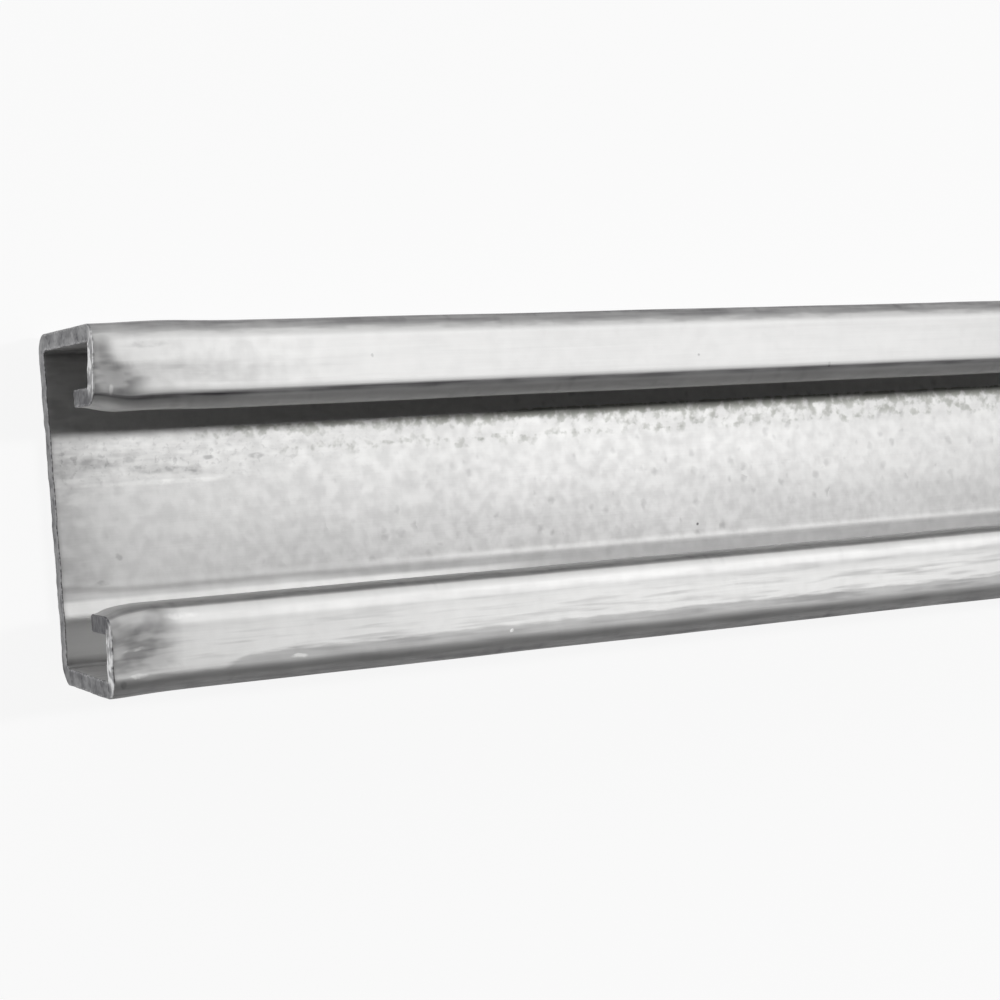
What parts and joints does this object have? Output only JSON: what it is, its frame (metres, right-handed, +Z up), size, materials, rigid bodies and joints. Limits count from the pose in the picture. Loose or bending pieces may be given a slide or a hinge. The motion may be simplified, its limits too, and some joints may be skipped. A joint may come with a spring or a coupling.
{
  "type": "strut channel",
  "caption": "Shallow galvanised steel strut channel: a roll-formed C section with a plain back and inturned lips along an open slot for channel nuts.",
  "frame": {"origin": "middle of the back, on the floor that the channel lies on", "axes": "+X along the channel, +Y across it, +Z up out of the slot"},
  "size_m": [0.3048, 0.0412, 0.0206],
  "materials": {
    "galvanised_steel": "zinc coated, satin, with faint spangle and rolling streaks"
  },
  "bodies": {
    "root": {"strut_channel": "galvanised_steel"}
  },
  "joints": []
}
